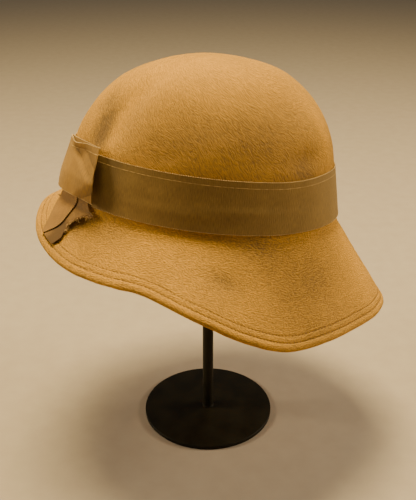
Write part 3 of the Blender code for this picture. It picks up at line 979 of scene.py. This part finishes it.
def loop_folds(side, height):
    """Lift of the loop's outer layer: side 1 at its near fold, -1 at its far one."""
    above = height - 0.86 + 0.366 * (side + 0.36)
    valley = np.clip(np.minimum(above / 0.12, (0.55 - above) / 0.40), 0, 1)
    valley = -LOOP_VALLEY * valley * smooth_step((side + 0.45) / 0.6)
    valley = valley * smooth_step((1.1 - height) / 0.25)
    corner = -LOOP_CORNER * np.clip((side - 0.27 - 1.75 * height) / 0.50, 0, 1)
    belly = LOOP_BELLY * np.exp(-(((side + 0.25) / 0.42) ** 2) - ((height - 0.45) / 0.40) ** 2)
    lip = LOOP_LIP * hump(side, 0.05, 0.38) * smooth_step((height - 0.80) / 0.20)
    return valley + corner + belly + lip


def loop_piece(ribbon):
    """Flattened loop of ribbon that lies on the band over the start of the tails."""
    section = cloth_section(24)

    def place(u, v):
        height, thick = section[picked(section, v)].T
        return loop_point(360 * u, height, CLOTH - thick)

    def chart(u, v):
        height = section[picked(section, v)][:, 0]
        return (1 - np.cos(math.pi * u)) * LOOP_WEAVE, height * RIBBON_WIDTH

    # Painted light and shade of the loop's folds on its outer layer: darker in the valley and the
    # lower corner, lighter on the belly and the lip, and painted light along its lower edge away
    # from the near fold.
    def shade(u, v):
        height = section[picked(section, v)][:, 0]
        side = np.cos(2 * math.pi * u)
        low = 0.30 * hump(height, 0, 0.35) * smooth_step((0.6 - side) / 0.5)
        return (160 * loop_folds(side, height) + low) * (u < 0.5)

    mesh = mapped_grid(120, len(section) - 1, place, chart, shade=shade)
    return finish("loop", mesh, ribbon, "ribbon_loop")


def loop_edges(cotton):
    """Picots of the loop's two selvedges."""
    mesh = bmesh.new()
    turn = np.linspace(0, 360, LOOP_POINTS)
    for height in (0.0, 1.0):
        line = loop_point(turn, height + 0 * turn, CLOTH * 0.5 + 0 * turn)
        picots(mesh, line, line - line.mean(0))
    return finish("loop_picots", mesh, cotton, "ribbon_loop")


def selvedges(rows, run):
    """Azimuths of a tail's two selvedges at one run."""
    return read_off(rows, TAIL_COLUMNS, "left", run), read_off(rows, TAIL_COLUMNS, "right", run)


def tail_rise(rows, azimuth, run):
    """How far a tail bows up from what it lies on, between its two selvedges."""
    left, right = selvedges(rows, run)
    side = np.clip((azimuth - left) / (right - left), 0, 1)
    low = read_off(rows, TAIL_COLUMNS, "lift_left", run)
    high = read_off(rows, TAIL_COLUMNS, "lift_right", run)
    return TAIL_LIFT * (low * (1 - side) + high * side)


def tail_point(tails, run, side, height):
    """Point on the last of the tails laid so far: side runs from its left selvedge to its right."""
    left, right = selvedges(tails[-1], run)
    azimuth = left + (right - left) * side
    lift = CLEARANCE + len(tails) * (CLOTH + CLEARANCE) + TAIL_REST + height
    lift = lift + sum(tail_rise(tail, azimuth, run) for tail in tails)
    return lifted(azimuth, run, lift)


def tail_piece(name, tails, node, ribbon):
    """Loose ribbon end from under the loop down over the brim."""
    section = cloth_section(18)
    start, end = tails[-1][0][0], tails[-1][-1][0]

    def place(u, v):
        side, height = section[picked(section, u)].T
        return tail_point(tails, start + (end - start) * v, side, height)

    def chart(u, v):
        side = section[picked(section, u)][:, 0]
        return v * TAIL_WEAVE, side * RIBBON_WIDTH

    # Painted shade on the under tail only: darker all over, and darker still towards its right
    # selvedge from the middle down, as shadow under its raised cut edge.
    def shade(u, v):
        run = start + (end - start) * v
        side = section[picked(section, u)][:, 0]
        flap_shadow = smooth_step((side - 0.2) / 0.6) * smooth_step((run - 0.36) / 0.15)
        return (-0.15 - 0.5 * flap_shadow) * (len(tails) == 1)

    mesh = mapped_grid(len(section) - 1, 70, place, chart, capped=True, shade=shade)
    return finish(name, mesh, ribbon, node)


def tail_edges(cotton):
    """Picots of the upper tail's near selvedge."""
    mesh = bmesh.new()
    run = np.linspace(-0.25, 0.83, TAIL_POINTS)
    line = tail_point([UNDER_TAIL, UPPER_TAIL], run, 1.0 + 0 * run, CLOTH * 0.5 + 0 * run)
    picots(mesh, line, felt_ways(210 + 0 * run, run)[2], size=PICOT * 0.8)
    return finish("tail_picots", mesh, cotton, "ribbon_tail_upper")


def tack_stitch(cotton):
    """Short stitch that holds the upper tail's far selvedge to the brim."""
    mesh = bmesh.new()
    low = lifted(np.array([189.5]), np.array([0.31]), np.array([0.0028]))
    side, height = np.array([0.05]), np.array([CLOTH])
    high = tail_point([UNDER_TAIL, UPPER_TAIL], np.array([0.235]), side, height)
    along = unit(high - low)
    normal = felt_ways(np.array([191.5]), np.array([0.27]))[2]
    up = unit(normal - along * (normal * along).sum())
    size = (np.linalg.norm(high - low), 0.0009, 0.0009)
    seeds(mesh, (low + high) / 2 + up * 0.0002, along, up, size)
    return finish("tack_stitch", mesh, cotton, "ribbon_tail_upper")


def frayed_threads(cotton):
    """Loose threads along the cut end of the under tail."""

    def point(run, side, height):
        return tail_point([UNDER_TAIL], np.array([run]), np.array([side]), np.array([height]))[0]

    dice = random.Random(7)
    mesh = bmesh.new()
    for _ in range(FRAYED_THREADS):
        run = 0.06 + 0.50 * dice.random() ** 1.2
        start = point(run, 0.995, CLOTH * dice.random())
        ahead = point(run, 1.05, CLOTH * 0.5)
        low, high = felt(np.array([215.0, 215.0]), np.array([run + 0.05, run]))
        way = unit(ahead - start) + unit(low - high) * dice.uniform(-0.5, 0.8)
        way = unit(way + np.array([dice.uniform(-0.4, 0.4) for _ in range(3)]))
        length = dice.uniform(0.0008, 0.0027) * (1.5 if run < 0.16 else 1.0)
        bend = np.array([dice.uniform(-1, 1), dice.uniform(-1, 1), dice.uniform(-1.2, 0.3)])
        bend = bend * length * 0.5
        middle = start + way * length * 0.5 + bend * 0.25
        strand(mesh, [start, middle, start + way * length + bend], FRAYED_RADIUS)
    return finish("frayed_threads", mesh, cotton, "ribbon_tail_under")


def strand(mesh, points, radius):
    """Thin thread through a few points."""
    rings = []
    last = len(points) - 1
    for k, point in enumerate(points):
        ahead = unit(points[min(k + 1, last)] - points[max(k - 1, 0)])
        side = unit(np.cross(ahead, (0.3, 0.5, 0.8)))
        ring = bmesh.ops.create_circle(
            mesh, segments=4, radius=radius * (1 - 0.3 * k / len(points)),
            matrix=placed(point, side, ahead), cap_ends=k in (0, last))
        rings.append(list({edge for corner in ring["verts"] for edge in corner.link_edges}))
    for first, second in zip(rings, rings[1:]):
        bmesh.ops.bridge_loops(mesh, edges=first + second)
    bmesh.ops.recalc_face_normals(mesh, faces=mesh.faces)


# Stand


def stand_disc(coat):
    """Round disc with softened edges."""
    mesh = bmesh.new()
    bmesh.ops.create_cone(mesh, cap_ends=True, segments=160, radius1=DISC_DIAMETER / 2,
                          radius2=DISC_DIAMETER / 2, depth=DISC_THICKNESS)
    bmesh.ops.translate(mesh, vec=(0, 0, DISC_THICKNESS / 2), verts=mesh.verts)
    edges = [edge for edge in mesh.edges if abs(edge.verts[0].co.z - edge.verts[1].co.z) < WELD]
    bmesh.ops.bevel(mesh, geom=edges, offset=DISC_BEVEL, segments=4, profile=0.5, affect="EDGES",
                    material=-1)
    return finish("disc", mesh, coat, "stand_base", seated=False, sharp=30)


def stand_post(coat):
    """Round post from the disc to the head, with a thin weld round its foot."""
    low, high = (corner[2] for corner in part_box("stand_post"))
    radius = POST_DIAMETER / 2
    outline = [(radius + 0.0007, low), (radius + 0.0006, low + 0.0003),
               (radius + 0.0002, low + 0.0007), (radius, low + 0.0012), (radius, high), (0, high)]
    mesh = bmesh.new()
    corners = [mesh.verts.new((x, 0, z)) for x, z in [(0, low)] + outline]
    edges = [mesh.edges.new(pair) for pair in zip(corners, corners[1:])]
    bmesh.ops.spin(mesh, geom=corners + edges, cent=(0, 0, 0), axis=(0, 0, 1), angle=2 * math.pi,
                   steps=48, use_merge=True)
    bmesh.ops.remove_doubles(mesh, verts=mesh.verts, dist=WELD)
    bmesh.ops.recalc_face_normals(mesh, faces=mesh.faces)
    return finish("post", mesh, coat, "stand_post", seated=False, sharp=30)


def stand_head(cover):
    """Padded cap under the top of the crown, flat below."""

    def place(u, v):
        return lifted(360 * u, -2 + v, -(FELT + 2 * CLEARANCE) + 0 * u)

    mesh = mapped_grid(128, 40, place, capped=True)
    bmesh.ops.transform(mesh, matrix=hat_seat(), verts=mesh.verts)
    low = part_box("stand_head")[0][2]
    everything = mesh.verts[:] + mesh.edges[:] + mesh.faces[:]
    bmesh.ops.bisect_plane(mesh, geom=everything, dist=WELD, plane_co=(0, 0, low),
                           plane_no=(0, 0, 1), clear_inner=True)
    bmesh.ops.holes_fill(mesh, edges=[edge for edge in mesh.edges if edge.is_boundary])
    bmesh.ops.recalc_face_normals(mesh, faces=mesh.faces)
    return finish("head", mesh, cover, "stand_head", seated=False)


# Stage


def pale_floor():
    """Plain pale floor."""
    made, wire, shader, place = new_material(
        "floor", Base_Color=(0.455, 0.375, 0.30, 1), Roughness=0.9)
    cloud = wire.noise(place, 60.0, 4.0)
    colour = wire.blend(cloud, (0.40, 0.320, 0.240, 1), (0.47, 0.385, 0.295, 1))
    wire.feed(shader, "Base Color", colour)
    mesh = bmesh.new()
    bmesh.ops.create_grid(mesh, x_segments=1, y_segments=1, size=4.0)
    data = mesh_data("floor", mesh)
    data.materials.append(made)
    linked("floor", data)


def lamp(name, place, size, power, colour):
    """Soft square light."""
    light = bpy.data.lights.new(name, "AREA")
    light.size = size
    light.energy = power
    light.color = colour
    thing = linked(name, light)
    thing.location = place
    thing.rotation_euler = (Vector(LAMP_AIM) - Vector(place)).to_track_quat("-Z", "Y").to_euler()


def studio():
    """Soft light from above and from both sides, and a dim pale surround."""
    lamp("top", (-0.10, 0.22, 1.50), 0.6, 44, (1.0, 0.80, 0.40))
    lamp("left", (-1.25, 0.02, 0.80), 0.4, 12, (1.0, 0.84, 0.55))
    lamp("right", (1.25, 0.15, 0.75), 0.5, 15, (1.0, 0.84, 0.58))
    world = bpy.data.worlds.new("surround")
    world.use_nodes = True
    ground = world.node_tree.nodes["Background"]
    ground.inputs[0].default_value = (0.90, 0.94, 1.0, 1)
    ground.inputs[1].default_value = 0.10
    bpy.context.scene.world = world


def camera():
    """Camera at the photograph's angle."""
    lens = bpy.data.cameras.new("camera")
    lens.sensor_width = CAMERA_SENSOR
    lens.lens = CAMERA_LENS
    thing = linked("camera", lens)
    thing.location = CAMERA_PLACE
    thing.rotation_euler = (math.radians(CAMERA_TILT), 0, 0)
    bpy.context.scene.camera = thing


def build():
    """Make the hat, its stand and the stage."""
    ribs = grosgrain_group()
    ribbon = grosgrain(
        "olive_ribbon", ribs, (0.150, 0.086, 0.018, 1), (0.350, 0.208, 0.048, 1), 0.05)
    loop_ribbon = grosgrain(
        "loop_ribbon", ribs, (0.150, 0.076, 0.012, 1), (0.400, 0.208, 0.036, 1), 0.06)
    tan_ribbon = grosgrain(
        "faded_ribbon", ribs, (0.095, 0.047, 0.010, 1), (0.390, 0.195, 0.042, 1), 0.06, False)
    edge_cotton = thread("edge_cotton", (0.38, 0.23, 0.07, 1), (0.88, 0.62, 0.30, 1))
    frayed_cotton = thread("frayed_cotton", (0.26, 0.14, 0.04, 1), (0.60, 0.35, 0.12, 1))
    brown_cotton = thread("brown_cotton", (0.05, 0.02, 0.006, 1), (0.13, 0.06, 0.02, 1))
    body = felt_piece(camel_felt(brushed_nap_group()))
    stitches = hem_stitches(brown_cotton)
    band = band_piece(ribbon)
    band_beads = band_edges(edge_cotton)
    loop = loop_piece(loop_ribbon)
    loop_beads = loop_edges(edge_cotton)
    upper = tail_piece("tail_upper", [UNDER_TAIL, UPPER_TAIL], "ribbon_tail_upper", tan_ribbon)
    upper_beads = tail_edges(edge_cotton)
    tack = tack_stitch(brown_cotton)
    under = tail_piece("tail_under", [UNDER_TAIL], "ribbon_tail_under", tan_ribbon)
    fray = frayed_threads(frayed_cotton)
    coat = black_coat()
    stand_disc(coat)
    stand_post(coat)
    head = stand_head(black_cloth())


build()
pale_floor()
studio()
camera()
